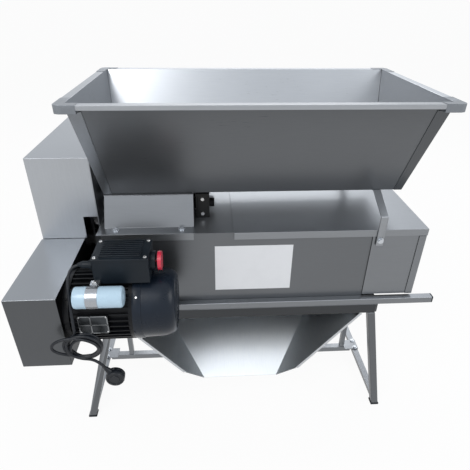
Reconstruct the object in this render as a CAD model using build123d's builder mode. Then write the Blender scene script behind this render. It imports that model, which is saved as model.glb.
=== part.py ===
from build123d import *
import os
from math import cos, hypot, pi, radians, sin, tan

# ---------------------------------------------------------------- driving dimensions, mm
SHEET = 2.0
MID_Y = 76.0            # middle plane of the machine, front to back
RIM_Z = 975.0           # top of the hopper
RIM_LONG = 900.0
RIM_DEEP = 500.0
HOPPER_X = 27.0         # middle of the hopper, left to right
FLANGE = 21.0
LIP = 11.0
HOPPER_FOOT_Z = 715.0
AUGER_Z = 790.0
TROUGH_R = 72.0
ROLLER_Z = 655.0
ROLLER_APART = 110.0
ROLLER_R = 52.0
CAGE_Z = 515.0
CAGE_R = 96.0
MOTOR_Y = -236.0
MOTOR_Z = 503.0
MOTOR_R = 89.0
BELT_R_MOTOR = 100.0 / 3
BELT_R_BEATER = 100.0
CHAIN_R_SMALL = 25.0
CHAIN_R_BIG = 75.0
FIT = 0.05              # radial running clearance
SEAT = 0.3              # hubs and keys stand this far off their shafts
STAY_BOLT_X = (-477, 431)
STAY_BOLT_Y = (34, 68)
CRUSHER_BOLT_X = (-347, -173)
CRUSHER_BOLT_Y = (-99, 251)
STRAP_X = 364.0
STRAP_BOLT_Z = 602.0

HX0, HX1 = HOPPER_X - RIM_LONG / 2, HOPPER_X + RIM_LONG / 2
HY0, HY1 = MID_Y - RIM_DEEP / 2, MID_Y + RIM_DEEP / 2
ROLLER_Y0, ROLLER_Y1 = MID_Y - ROLLER_APART / 2, MID_Y + ROLLER_APART / 2

os.makedirs("parts", exist_ok=True)


# ---------------------------------------------------------------- helpers
def block(x0, x1, y0, y1, z0, z1, mode=Mode.ADD):
    """Box between two opposite corners."""
    with Locations(((x0 + x1) / 2, (y0 + y1) / 2, (z0 + z1) / 2)):
        Box(x1 - x0, y1 - y0, z1 - z0, mode=mode)


def mirrored_block(x0, x1, y0, y1, z0, z1, mode=Mode.ADD):
    """A box in front and its twin behind the middle plane."""
    block(x0, x1, y0, y1, z0, z1, mode)
    block(x0, x1, 2 * MID_Y - y1, 2 * MID_Y - y0, z0, z1, mode)


def rod(axis, a, b, start, end, radius, mode=Mode.ADD):
    """Round bar along an axis; a and b are the other two coordinates in order."""
    mid = (start + end) / 2
    spot = {"X": (mid, a, b), "Y": (a, mid, b), "Z": (a, b, mid)}[axis]
    turn = {"X": (0, 90, 0), "Y": (90, 0, 0), "Z": (0, 0, 0)}[axis]
    with Locations(Location(spot, turn)):
        Cylinder(radius, end - start, mode=mode)


def tapered(low, high, mode=Mode.ADD):
    """Flat-sided solid between two level rectangles, each x0, x1, y0, y1, z."""
    loops = []
    for x0, x1, y0, y1, z in (low, high):
        with BuildSketch(Plane.XY.offset(z)) as loop:
            with Locations(((x0 + x1) / 2, (y0 + y1) / 2)):
                Rectangle(x1 - x0, y1 - y0)
        loops.append(loop.sketch)
    loft(loops, ruled=True, mode=mode)


def prism(plane, points, depth, mode=Mode.ADD):
    """Polygon on a plane, extruded along its normal."""
    with BuildSketch(plane) as outline:
        Polygon(*points, align=None)
    extrude(outline.sketch, amount=depth, mode=mode)


def side_plane(x):
    """Plane looking along +X whose local axes are Y and Z."""
    return Plane((x, 0, 0), x_dir=(0, 1, 0), z_dir=(1, 0, 0))


def front_plane(y):
    """Plane looking along -Y whose local axes are X and Z."""
    return Plane((0, y, 0), x_dir=(1, 0, 0), z_dir=(0, -1, 0))


def hopper_at(z):
    """Outer x and y limits of the hopper walls at a height."""
    k = (z - HOPPER_FOOT_Z) / (RIM_Z - HOPPER_FOOT_Z)
    x0 = -376 + k * (HX0 + FLANGE + 376)
    x1 = 430 + k * (HX1 - FLANGE - 430)
    y0 = -44 + k * (HY0 + FLANGE + 44)
    return x0, x1, y0, 2 * MID_Y - y0


def bolt(axis, a, b, face, grip, head=True, size=4.0, out=-1):
    """Hex bolt with a washer on a face; out is the way the head points."""
    far = face - out * grip
    rod(axis, a, b, min(face, far), max(face, far), size)
    if head:
        w = face + out * 1.5
        rod(axis, a, b, min(face, w), max(face, w), size * 2.2)
        h = w + out * size * 1.2
        rod(axis, a, b, min(w, h), max(w, h), size * 1.6)


# ---------------------------------------------------------------- stand
with BuildPart() as stand_frame:
    block(-403, 398, -139, 291, 357, 389)
    block(-371, 366, -107, 259, 357, 389, mode=Mode.SUBTRACT)
    block(-400, 395, -136, 288, 357, 386, mode=Mode.SUBTRACT)
    mirrored_block(-374, 369, -110, -107, 357, 386)
    for x0, x1 in ((-374, -371), (366, 369)):
        block(x0, x1, -107, 259, 357, 386)
    for x in (-403, 398):
        for y in (-139, 291):
            with Locations(Location((x, y, 373), (0, 0, 45))):
                Box(14, 14, 40, mode=Mode.SUBTRACT)
    for x in (-387, 382):
        for y in (-122, 274):
            block(x - 13, x + 13, y - 13, y + 13, 357, 386)

with BuildPart() as legs:
    for side in (1, -1):
        for x_top, x_foot in ((379, 436), (-401, -485)):
            y_top = MID_Y + side * -205
            y_foot = MID_Y + side * -250
            x_top_in = x_top + (8 if x_top < 0 else 0)
            tapered((x_foot - 11, x_foot + 11, y_foot - 11, y_foot + 11, 4),
                    (x_top_in - 11, x_top_in + 11, y_top - 11, y_top + 11, 357))
            tapered((x_foot - 9, x_foot + 9, y_foot - 9, y_foot + 9, 4),
                    (x_top_in - 9, x_top_in + 9, y_top - 9, y_top + 9, 357), Mode.SUBTRACT)

with BuildPart() as stand_side_bars:
    for x_low, x_foot, x_top in ((432, 436, 379), (-479, -485, -393)):
        k0, k1 = (15 - 4) / 353, (35 - 4) / 353
        xa = x_foot + k0 * (x_top - x_foot)
        xb = x_foot + k1 * (x_top - x_foot)
        ya = -174 + k0 * 45 + 11
        yb = -174 + k1 * 45 + 11
        tapered((xa - 10, xa + 10, ya, 2 * MID_Y - ya, 15), (xb - 10, xb + 10, yb, 2 * MID_Y - yb, 35))
    for x in STAY_BOLT_X:
        for y in STAY_BOLT_Y:
            rod("Z", x, y, 28, 40, 3.5 + SEAT, Mode.SUBTRACT)

with BuildPart() as stand_cross_bar:
    block(-466, 418, 41, 61, 15, 35)
    block(-489, -440, 28, 74, 35, 38)
    block(392, 443, 28, 74, 35, 38)
    for x in STAY_BOLT_X:
        for y in STAY_BOLT_Y:
            rod("Z", x, y, 34, 39, 3.5 + SEAT, Mode.SUBTRACT)
    for x in (385, -393):
        block(x - 7.5, x + 7.5, 43, 59, 35, 357)

with BuildPart() as carrying_rails:
    for y, x0 in ((-129, -400), (281, -396)):
        block(x0, 554, y - 10, y + 10, 389, 409)
        block(x0, 554, y - 8, y + 8, 391, 407, mode=Mode.SUBTRACT)

with BuildPart() as end_plugs:
    for y, x0, x1, s0, s1 in ((-129, -403, -400, -400, -388), (-129, 554, 557, 542, 554),
                              (281, 554, 557, 542, 554)):
        block(x0, x1, y - 10, y + 10, 389, 409)
        block(s0, s1, y - 8, y + 8, 391, 407)
    for x in (436, -485):
        for y in (-174, 326):
            block(x - 13, x + 13, y - 13, y + 13, 0, 4)

# ---------------------------------------------------------------- chute
CHUTE_X = -12.0
CHUTE_T = 2.5


def slab(corners, thick):
    """Flat sheet of even thickness under a ring of corners in one plane."""
    a, b, c = corners[0], corners[1], corners[-1]
    normal = (b - a).cross(c - a).normalized()
    if normal.Z < 0:
        normal = normal * -1
    face = Plane(a, x_dir=b - a, z_dir=normal)
    local = [face.to_local_coords(q) for q in corners]
    prism(face, [(q.X, q.Y) for q in local], -thick)


with BuildPart() as chute:
    slab([Vector(-129, -159, 131), Vector(105, -159, 131), Vector(363, 235, 356.6),
          Vector(-387, 235, 356.6)], CHUTE_T)
    for side in (1, -1):
        def spot(x, y, z):
            return Vector(CHUTE_X + side * (x - CHUTE_X), y, z)
        low = spot(102, -159, 131)
        far = spot(343, -139, 355.4)
        back = spot(360, 235, 356.6)
        across = (far - low).cross(back - low)
        tip = spot(156, -181, 0)
        rise = (across.X * (tip.X - low.X) + across.Y * (tip.Y - low.Y)) / across.Z
        tip = Vector(tip.X, tip.Y, low.Z - rise)
        slab([low, tip, far, back], CHUTE_T)
        out = Vector(side * 8.0, 0.0, -2.0)
        slab([tip, far, far + out, tip + out], CHUTE_T)
    block(351, 377, -92, 228, 354.2, 357)
    block(-385, -366, -92, 228, 354.2, 357)

# ---------------------------------------------------------------- body
with BuildPart() as body_front_panel:
    block(-396, 345, -119, -117, 389, 631)
    block(-396, -394, -117, -58, 389, 629)
    block(-394, 345, -117, -100, 389, 391)

with BuildPart() as body_rear_panel:
    block(-396, 345, 269, 271, 389, 631)
    block(-396, -394, 210, 269, 389, 629)
    block(-394, 345, 252, 269, 389, 391)

with BuildPart() as drive_plate:
    block(-398, -396, -65, 345, 395, 823)
    for y, z, r in ((MID_Y, CAGE_Z, 16), (ROLLER_Y0, ROLLER_Z, 16), (ROLLER_Y1, ROLLER_Z, 16),
                    (MID_Y, AUGER_Z, 16)):
        rod("X", y, z, -400, -394, r, Mode.SUBTRACT)

with BuildPart() as flange_bearings:
    for y, z, r in ((MID_Y, CAGE_Z, 14), (ROLLER_Y0, ROLLER_Z, 12.5), (ROLLER_Y1, ROLLER_Z, 12.5),
                    (MID_Y, AUGER_Z, 12.5)):
        rod("X", y, z, -406, -398, 24)
        rod("X", y, z, -398, -394, 16)
        rod("X", y, z, -408, -392, r + FIT, Mode.SUBTRACT)
    x_wall = hopper_at(AUGER_Z)[1] + SHEET
    rod("X", MID_Y, AUGER_Z, x_wall + 2.6, x_wall + 18, 24)
    rod("X", MID_Y, AUGER_Z, x_wall - 8, x_wall + 2.6, 16)
    rod("X", MID_Y, AUGER_Z, x_wall - 10, x_wall + 15, 12.5 + FIT, Mode.SUBTRACT)
    rod("X", MID_Y, CAGE_Z, 345, 357, 30)
    rod("X", MID_Y, CAGE_Z, 340, 357.5, 14 + FIT, Mode.SUBTRACT)

with BuildPart() as cage_rings:
    for x0 in (-128, 343):
        block(x0, x0 + 2, -117, 269, 391, 627)
        rod("X", MID_Y, CAGE_Z, x0 - 1, x0 + 3, CAGE_R - 1.5, Mode.SUBTRACT)

with BuildPart() as stalk_hood:
    block(345, 494, -122, 274, 415, 631)
    block(344, 492, -120, 272, 410, 629, mode=Mode.SUBTRACT)
    block(345, 347, -120, -102, 415, 629)
    block(345, 347, 254, 272, 415, 629)
    block(474, 494, -124, -122, 415, 611)
    block(474, 494, 274, 276, 415, 611)
    for y in (-122, 274):
        rod("Y", STRAP_X, STRAP_BOLT_Z, y - 3, y + 3, 4 + SEAT, Mode.SUBTRACT)

with BuildPart() as body_cover:
    block(-34, 496, -124, 276, 631, 633)
    block(-34, 496, -124, -122, 612, 633)
    block(-34, 496, 274, 276, 612, 633)
    block(494, 496, -124, 276, 612, 633)

with BuildPart() as base_plate:
    block(-394, -34, -117, 269, 629, 631)
    block(-372.5, -143.5, -34, 186, 628, 632, mode=Mode.SUBTRACT)
    block(-36, -34, -117, 269, 631, 633)
    for x in CRUSHER_BOLT_X:
        for y in CRUSHER_BOLT_Y:
            rod("Z", x, y, 627, 632, 4 + SEAT, Mode.SUBTRACT)

with BuildPart() as perforated_cage:
    rod("X", MID_Y, CAGE_Z, -126, 343, CAGE_R)
    rod("X", MID_Y, CAGE_Z, -127, 344, CAGE_R - 1.5, Mode.SUBTRACT)
    for i in range(9):
        for j in range(5):
            angle = 36 * j + (18 if i % 2 else 0)
            with Locations(Location((-98 + 51.5 * i, MID_Y, CAGE_Z), (angle, 0, 0))):
                Cylinder(14.5, 220, mode=Mode.SUBTRACT)
    for x0 in (-126, 341):
        rod("X", MID_Y, CAGE_Z, x0, x0 + 2, CAGE_R + 6)
        rod("X", MID_Y, CAGE_Z, x0 - 1, x0 + 3, CAGE_R - 1.5, Mode.SUBTRACT)

with BuildPart() as bearing_bridge:
    block(347, 351, -120, 272, 495, 535)
    rod("X", MID_Y, CAGE_Z, 347, 351, 44)
    mirrored_block(351, 365, -120, -114, 485, 545)
    rod("X", MID_Y, CAGE_Z, 346, 352, 30 + SEAT, Mode.SUBTRACT)

with BuildPart() as beater_shaft:
    rod("X", MID_Y, CAGE_Z, -530, 360, 14)

with BuildPart() as beater_paddles:
    for i in range(9):
        with Locations(Location((-104 + 52 * i, MID_Y, CAGE_Z), (40 * i, 0, 0))):
            with Locations((0, 0, 14 + SEAT + 34), (0, 0, -14 - SEAT - 34)):
                Box(5, 16, 68)
            with Locations((0, 0, 84.5), (0, 0, -84.5)):
                Box(40, 5, 5)
            with Locations(Location((0, 0, 0), (0, 90, 0))):
                Cylinder(22, 14)
                Cylinder(14 + SEAT, 16, mode=Mode.SUBTRACT)

with BuildPart() as beater_pulley:
    rod("X", MID_Y, CAGE_Z, -520, -500, BELT_R_BEATER)
    rod("X", MID_Y, CAGE_Z, -523, -520, BELT_R_BEATER + 6)
    rod("X", MID_Y, CAGE_Z, -500, -497, BELT_R_BEATER + 6)
    rod("X", MID_Y, CAGE_Z, -497, -470, 24)
    rod("X", MID_Y, CAGE_Z, -470, -444, CHAIN_R_SMALL - 3)
    rod("X", MID_Y, CAGE_Z, -451, -447, CHAIN_R_SMALL)
    rod("X", MID_Y, CAGE_Z, -524, -443, 14 + SEAT, Mode.SUBTRACT)

# ---------------------------------------------------------------- crusher
with BuildPart() as crusher_front_plate:
    tapered((-379, -141, -85, -83, 633), (-375, -141, -55, -53, 713))
    block(-376, -141, -55, -44, 713, 715)
    block(-382, -141, -119, -83, 631, 633)
    block(-382, -141, -121, -119, 612, 633)
    for x in CRUSHER_BOLT_X:
        rod("Z", x, CRUSHER_BOLT_Y[0], 630, 634, 4 + SEAT, Mode.SUBTRACT)

with BuildPart() as crusher_rear_plate:
    tapered((-379, -141, 235, 237, 633), (-375, -141, 205, 207, 713))
    block(-376, -141, 196, 207, 713, 715)
    block(-382, -141, 235, 271, 631, 633)
    block(-382, -141, 271, 273, 612, 633)
    for x in CRUSHER_BOLT_X:
        rod("Z", x, CRUSHER_BOLT_Y[1], 630, 634, 4 + SEAT, Mode.SUBTRACT)

with BuildPart() as crusher_side_plates:
    for x0 in (-375, -143):
        prism(side_plane(x0), [(-82.9, 633), (234.9, 633), (204.9, 713), (-52.9, 713)], 2)
        for y in (ROLLER_Y0, ROLLER_Y1):
            rod("X", y, ROLLER_Z, x0 - 1, x0 + 3, 16, Mode.SUBTRACT)


def lobed_roller(y, phase):
    """Rubber-clad roller with six shallow lobes and its through shaft."""
    with BuildSketch(side_plane(-371)) as outline:
        with Locations((y, ROLLER_Z)):
            Circle(ROLLER_R - 6)
            with PolarLocations(ROLLER_R - 8, 6, start_angle=phase):
                Circle(8)
    extrude(outline.sketch, amount=224)
    rod("X", y, ROLLER_Z, -447 if y > MID_Y else -424, -84, 12.5)


with BuildPart() as front_roller:
    lobed_roller(ROLLER_Y0, 15)

with BuildPart() as rear_roller:
    lobed_roller(ROLLER_Y1, 15)

with BuildPart() as roller_bearing_blocks:
    for y0, y1, y in ((-29, 65, ROLLER_Y0), (87, 181, ROLLER_Y1)):
        block(-136, -98, y0, y1, 631, 704)
        rod("X", y, ROLLER_Z, -141, -136, 16)
        rod("X", y, ROLLER_Z, -142, -97, 12.5 + FIT, Mode.SUBTRACT)
    block(-130, -104, -31, -29, 640, 696)


def gear(x0, x1, y, z, teeth, root, tip, phase, bore):
    """Straight-toothed wheel with a hub."""
    step = 2 * pi / teeth
    ring = []
    for k in range(teeth):
        mid = k * step + phase
        for r, d in ((root, -0.30), (tip, -0.11), (tip, 0.11), (root, 0.30)):
            ring.append((y + r * cos(mid + d * step), z + r * sin(mid + d * step)))
    prism(side_plane(x0), ring, x1 - x0)
    rod("X", y, z, x0, x1, bore, Mode.SUBTRACT)


with BuildPart() as front_roller_gear:
    gear(-420, -408.5, ROLLER_Y0, ROLLER_Z, 22, 49.5, 58.8, 0, 12.5 + SEAT)

with BuildPart() as rear_roller_gear:
    gear(-420, -408.5, ROLLER_Y1, ROLLER_Z, 22, 49.5, 58.8, pi / 22, 12.5 + SEAT)
    rod("X", ROLLER_Y1, ROLLER_Z, -454, -420, 22)
    rod("X", ROLLER_Y1, ROLLER_Z, -451, -447, CHAIN_R_BIG)
    rod("X", ROLLER_Y1, ROLLER_Z, -435, -431, CHAIN_R_SMALL - 1)
    rod("X", ROLLER_Y1, ROLLER_Z, -456, -408, 12.5 + SEAT, Mode.SUBTRACT)

# ---------------------------------------------------------------- hopper
WX0, WX1, WY0, WY1 = hopper_at(RIM_Z)
BX0, BX1, BY0, BY1 = hopper_at(HOPPER_FOOT_Z)


def long_wall(front):
    """Front or rear wall, its rim flange and the lip turned down from it."""
    s = 1 if front else -1
    top, foot = (WY0, BY0) if front else (WY1, BY1)
    rim = HY0 if front else HY1
    tapered((BX0, BX1, min(foot, foot + s * SHEET), max(foot, foot + s * SHEET), HOPPER_FOOT_Z),
            (WX0, WX1, min(top, top + s * SHEET), max(top, top + s * SHEET), RIM_Z))
    edge = top + s * 1.5
    block(-373, 427, min(rim, edge), max(rim, edge), RIM_Z - SHEET, RIM_Z)
    lip = rim + s * SHEET
    block(-373, 427, min(rim, lip), max(rim, lip), RIM_Z - LIP, RIM_Z)


def end_wall(left):
    """Side wall with rim flange, lip and the two strips returned onto the long walls."""
    s = 1 if left else -1
    top, foot = (WX0, BX0) if left else (WX1, BX1)
    rim = HX0 if left else HX1
    tapered((min(foot, foot - s * SHEET), max(foot, foot - s * SHEET), BY0 - SHEET, BY1 + SHEET,
             HOPPER_FOOT_Z),
            (min(top, top - s * SHEET), max(top, top - s * SHEET), WY0 - SHEET, WY1 + SHEET, RIM_Z))
    strip_z = RIM_Z - 20
    ux0, ux1, uy0, uy1 = hopper_at(strip_z)
    ux = ux0 if left else ux1
    for front in (True, False):
        lo = (BY0 - SHEET, BY0) if front else (BY1, BY1 + SHEET)
        hi = (uy0 - SHEET, uy0) if front else (uy1, uy1 + SHEET)
        tapered((min(foot, foot + s * 20), max(foot, foot + s * 20), lo[0], lo[1], HOPPER_FOOT_Z),
                (min(ux, ux + s * 30), max(ux, ux + s * 30), hi[0], hi[1], strip_z))
    edge = top - s * 0.5
    block(min(rim, edge), max(rim, edge), -100, 252, RIM_Z - SHEET, RIM_Z)
    lip = rim + s * SHEET
    block(min(rim, lip), max(rim, lip), -100, 252, RIM_Z - LIP, RIM_Z)


with BuildPart() as hopper_front_panel:
    long_wall(True)

with BuildPart() as hopper_rear_panel:
    long_wall(False)

with BuildPart() as hopper_left_panel:
    end_wall(True)
    rod("X", MID_Y, AUGER_Z, -400, -370, 18, Mode.SUBTRACT)

with BuildPart() as hopper_right_panel:
    end_wall(False)
    rod("X", MID_Y, AUGER_Z, 420, 450, 16 + SEAT, Mode.SUBTRACT)

TROUGH_TOP = AUGER_Z + 16
with BuildPart() as hopper_trough:
    y_in = hopper_at(TROUGH_TOP)[2] + SHEET
    y_in_low = hopper_at(HOPPER_FOOT_Z + 1)[2] + SHEET
    y_lo = hopper_at(TROUGH_TOP - SHEET)[2] + SHEET
    tapered((-139, 437, y_lo, 2 * MID_Y - y_lo, TROUGH_TOP - SHEET),
            (-139, 437, y_in, 2 * MID_Y - y_in, TROUGH_TOP))
    block(-139, 437, MID_Y - TROUGH_R - SHEET, MID_Y + TROUGH_R + SHEET, AUGER_Z, TROUGH_TOP)
    rod("X", MID_Y, AUGER_Z, -139, 437, TROUGH_R + SHEET)
    tapered((-141, -139, y_in_low, 2 * MID_Y - y_in_low, HOPPER_FOOT_Z + 1),
            (-141, -139, y_in, 2 * MID_Y - y_in, TROUGH_TOP))
    rod("X", MID_Y, AUGER_Z, -142, 440, TROUGH_R, Mode.SUBTRACT)
    block(-142, 440, MID_Y - TROUGH_R, MID_Y + TROUGH_R, AUGER_Z, TROUGH_TOP + 1, Mode.SUBTRACT)
    block(-142, 440, MID_Y - 90, MID_Y + 90, TROUGH_TOP, TROUGH_TOP + 80, Mode.SUBTRACT)
    rx_low = hopper_at(HOPPER_FOOT_Z)[1]
    rx_high = hopper_at(RIM_Z)[1]
    tapered((rx_low, 520, -60, 220, HOPPER_FOOT_Z), (rx_high, 520, -60, 220, RIM_Z), Mode.SUBTRACT)

with BuildPart() as rim_corner_caps:
    for sx in (1, -1):
        for sy in (1, -1):
            def at(u, v):
                cx = HX0 if sx > 0 else HX1
                cy = HY0 if sy > 0 else HY1
                return (cx + sx * u, cy + sy * v)
            outer = [(12, 0), (50, 0), (50, 19), (19, 19), (19, 74), (0, 74), (0, 12), (3.5, 3.5)]
            plate = [(12, 0), (50, 0), (50, 23), (23, 23), (23, 74), (0, 74), (0, 12), (3.5, 3.5)]
            hollow = [(13, 3), (48, 3), (48, 19.5), (19.5, 19.5), (19.5, 72), (3, 72), (3, 13), (5, 5)]
            prism(Plane.XY.offset(RIM_Z - 18), [at(*q) for q in outer], 18)
            prism(Plane.XY.offset(RIM_Z - 18), [at(*q) for q in hollow], 15, Mode.SUBTRACT)
            prism(Plane.XY.offset(RIM_Z), [at(*q) for q in plate], 1)

STRAP_LINE = [(-20, 711), (-20, 715), (-46, 715), (-128, 674), (-128, 585), (-124, 585), (-124, 671.5),
              (-45, 711)]
with BuildPart() as hopper_straps:
    prism(side_plane(STRAP_X - 10.5), STRAP_LINE, 21)
    prism(side_plane(STRAP_X - 10.5), [(2 * MID_Y - y, z) for y, z in STRAP_LINE], 21)
    for y in (-126, 2 * MID_Y + 126):
        rod("Y", STRAP_X, STRAP_BOLT_Z, y - 3, y + 3, 4 + SEAT, Mode.SUBTRACT)

with BuildPart() as auger_shaft:
    rod("X", MID_Y, AUGER_Z, -442, hopper_at(AUGER_Z)[1] + SHEET + 13, 12.5)

with BuildPart() as screw:
    with BuildLine() as screw_line:
        Helix(pitch=100, height=520, radius=36.5)
    with BuildSketch(Plane(screw_line.line @ 0, x_dir=(1, 0, 0), z_dir=screw_line.line % 0)):
        Rectangle(46.8, 4)
    sweep(is_frenet=True)

with BuildPart() as auger_flight:
    with Locations(Location((-125, MID_Y, AUGER_Z), (0, 90, 0))):
        add(screw.part)

with BuildPart() as auger_sprocket:
    rod("X", MID_Y, AUGER_Z, -441, -424, 18)
    rod("X", MID_Y, AUGER_Z, -435, -431, CHAIN_R_SMALL - 1)
    rod("X", MID_Y, AUGER_Z, -442, -423, 12.5 + SEAT, Mode.SUBTRACT)


# ---------------------------------------------------------------- drive
def loop_belt(x0, x1, a, ra, b, rb, thick):
    """Closed belt or chain round two wheels given by centre and radius."""
    ay, az = a
    by, bz = b
    for grow, mode in ((thick, Mode.ADD), (0, Mode.SUBTRACT)):
        r1, r2 = ra + grow, rb + grow
        d = hypot(by - ay, bz - az)
        ux, uz = (by - ay) / d, (bz - az) / d
        k = (r1 - r2) / d
        h = (1 - k * k) ** 0.5
        ring = []
        for s in (1, -1):
            nx, nz = k * ux - s * h * uz, k * uz + s * h * ux
            pair = [(ay + r1 * nx, az + r1 * nz), (by + r2 * nx, bz + r2 * nz)]
            ring += pair if s > 0 else pair[::-1]
        m = 0 if mode == Mode.ADD else 1
        with BuildSketch(side_plane(x0 - m)) as outline:
            Polygon(*ring, align=None)
            with Locations((ay, az)):
                Circle(r1)
            with Locations((by, bz)):
                Circle(r2)
        extrude(outline.sketch, amount=x1 - x0 + 2 * m, mode=mode)


with BuildPart() as motor_pulley:
    rod("X", MOTOR_Y, MOTOR_Z, -520, -500, BELT_R_MOTOR)
    rod("X", MOTOR_Y, MOTOR_Z, -523, -520, BELT_R_MOTOR + 6)
    rod("X", MOTOR_Y, MOTOR_Z, -500, -497, BELT_R_MOTOR + 6)
    rod("X", MOTOR_Y, MOTOR_Z, -524, -496, 10 + SEAT, Mode.SUBTRACT)

with BuildPart() as drive_belt:
    loop_belt(-519, -501, (MOTOR_Y, MOTOR_Z), BELT_R_MOTOR + 0.5, (MID_Y, CAGE_Z), BELT_R_BEATER + 0.5, 5)

with BuildPart() as drive_chains:
    loop_belt(-452, -446, (MID_Y, CAGE_Z), CHAIN_R_SMALL + 0.6, (ROLLER_Y1, ROLLER_Z),
              CHAIN_R_BIG + 0.6, 5)
    loop_belt(-436, -430, (ROLLER_Y1, ROLLER_Z), CHAIN_R_SMALL - 0.4, (MID_Y, AUGER_Z), CHAIN_R_SMALL - 0.4, 5)

with BuildPart() as upper_guard:
    block(-554, -398, -65, 345, 395, 823)
    block(-552, -397, -63, 343, 397, 821, mode=Mode.SUBTRACT)
    block(-552, -397, -66, -62, 397, 593, mode=Mode.SUBTRACT)
    block(-435, -397, -66, -62, 593, 658, mode=Mode.SUBTRACT)
    block(-441, -397, -66, -62, 397, 593, mode=Mode.SUBTRACT)
    block(-441, -397, -66, -40, 394, 398, mode=Mode.SUBTRACT)

with BuildPart() as lower_guard:
    block(-557, -441, -332, -66, 390, 593)
    block(-555, -443, -330, -65, 392, 591, mode=Mode.SUBTRACT)
    rod("X", MOTOR_Y, MOTOR_Z, -444, -440, 30, Mode.SUBTRACT)

# ---------------------------------------------------------------- motor
with BuildPart() as motor_housing:
    rod("X", MOTOR_Y, MOTOR_Z, -441, -283, 80)
    with BuildSketch(side_plane(-425)) as fins:
        with Locations((MOTOR_Y, MOTOR_Z)):
            with PolarLocations(83, 36):
                Rectangle(12, 3)
    extrude(fins.sketch, amount=135)
    rod("X", MOTOR_Y, MOTOR_Z, -441, -427, 88)
    rod("X", MOTOR_Y, MOTOR_Z, -292, -283, 88)
    block(-340, -290, -170, -146, 430, 480)
    block(-340, -290, -170, -146, 526, 576)
    block(-352, -284, MOTOR_Y - 34, MOTOR_Y + 34, MOTOR_Z + 70, 596)
    rod("X", MOTOR_Y, MOTOR_Z, -442, -282, 10 + FIT, Mode.SUBTRACT)
    rod("X", MOTOR_Y, MOTOR_Z, -443, -436, 26, Mode.SUBTRACT)

with BuildPart() as fan_cover:
    rod("X", MOTOR_Y, MOTOR_Z, -283, -195, MOTOR_R)
    rod("X", MOTOR_Y, MOTOR_Z, -195, -183, MOTOR_R - 9)
    rod("X", MOTOR_Y, MOTOR_Z, -284, -197, MOTOR_R - 2, Mode.SUBTRACT)
    rod("X", MOTOR_Y, MOTOR_Z, -197, -185, MOTOR_R - 11, Mode.SUBTRACT)
    for ring_r, count in ((66, 24), (44, 16), (22, 8)):
        with BuildSketch(side_plane(-190)) as slots:
            with Locations((MOTOR_Y, MOTOR_Z)):
                with PolarLocations(ring_r, count):
                    Rectangle(16, 8)
        extrude(slots.sketch, amount=10, mode=Mode.SUBTRACT)

with BuildPart() as motor_fan:
    rod("X", MOTOR_Y, MOTOR_Z, -250, -222, 24)
    rod("X", MOTOR_Y, MOTOR_Z, -250, -246, 60)
    with BuildSketch(side_plane(-246)) as blades:
        with Locations((MOTOR_Y, MOTOR_Z)):
            with PolarLocations(48, 8):
                Rectangle(52, 3)
    extrude(blades.sketch, amount=24)
    rod("X", MOTOR_Y, MOTOR_Z, -251, -220, 10 + SEAT, Mode.SUBTRACT)

with BuildPart() as motor_shaft:
    rod("X", MOTOR_Y, MOTOR_Z, -528, -222, 10)

with BuildPart() as motor_base:
    block(-350, -286, -146, -139, 420, 586)
    block(-350, -286, -139, -119, 409, 430)
    block(-350, -286, -139, -119, 540, 586)

with BuildPart() as terminal_box:
    block(-366, -239, -282, -196, 596, 655)
    block(-363, -242, -279, -199, 600, 656, mode=Mode.SUBTRACT)
    rod("X", -274, 645, -367, -360, 8, Mode.SUBTRACT)
    rod("X", -241, 630, -243, -238, 10, Mode.SUBTRACT)

with BuildPart() as terminal_lid:
    block(-367, -238, -283, -195, 655, 662)
    for i in range(9):
        block(-350, -256, -274 + 8.5 * i, -270 + 8.5 * i, 662, 667)

with BuildPart() as switch_body:
    rod("X", -241, 630, -239, -227, 23.5)
    rod("X", -241, 630, -250, -226, 4 + FIT, Mode.SUBTRACT)

with BuildPart() as switch_button:
    rod("X", -241, 630, -221.5, -213, 23)
    rod("X", -241, 630, -240, -221.5, 4)

with BuildPart() as capacitor:
    rod("X", -319, 586, -403, -297, 24.5)

with BuildPart() as capacitor_clamp:
    rod("X", -319, 586, -375, -349, 26)
    block(-372, -352, -300, -282, 596, 606)
    rod("X", -319, 586, -376, -348, 24.5, Mode.SUBTRACT)

with BuildPart() as cable_gland:
    rod("X", -274, 645, -366, -360, 8)
    rod("X", -274, 645, -373, -366, 10)
    rod("X", -274, 645, -386, -373, 8.5)
    rod("X", -274, 645, -402, -359, 3.5, Mode.SUBTRACT)

# ---------------------------------------------------------------- hardware
with BuildPart() as fasteners:
    for x in CRUSHER_BOLT_X:
        for y in CRUSHER_BOLT_Y:
            bolt("Z", x, y, 633, 7, out=1)
    bolt("Y", STRAP_X, STRAP_BOLT_Z, -128, 10, out=-1)
    bolt("Y", STRAP_X, STRAP_BOLT_Z, 280, 10, out=1)
    for y0, y1 in ((-124, -122), (274, 276)):
        rod("Y", STRAP_X, STRAP_BOLT_Z, y0, y1, 8.8)
    for x in STAY_BOLT_X:
        for y in STAY_BOLT_Y:
            bolt("Z", x, y, 38, 9, out=1, size=3.5)

# ---------------------------------------------------------------- cord
CORD_D = 7.0
CORD_ROUTE = [(-386, -274, 645), (-401, -274.6, 644.6), (-414.5, -280, 637), (-420.5, -292.5, 619.5),
              (-419, -309, 594), (-415, -326, 563), (-411, -342, 532), (-408, -352, 505)]


def fillet_radii(points):
    """Bend radius at each inner point from the shorter neighbouring run."""
    radii = []
    for p, q, r in zip(points, points[1:], points[2:]):
        a, b = Vector(*q) - Vector(*p), Vector(*r) - Vector(*q)
        turn = radians(a.get_angle(b))
        radii.append(0.45 * min(a.length, b.length) / tan(turn / 2))
    print("cord bend radii", [round(q, 1) for q in radii])
    return radii


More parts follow.
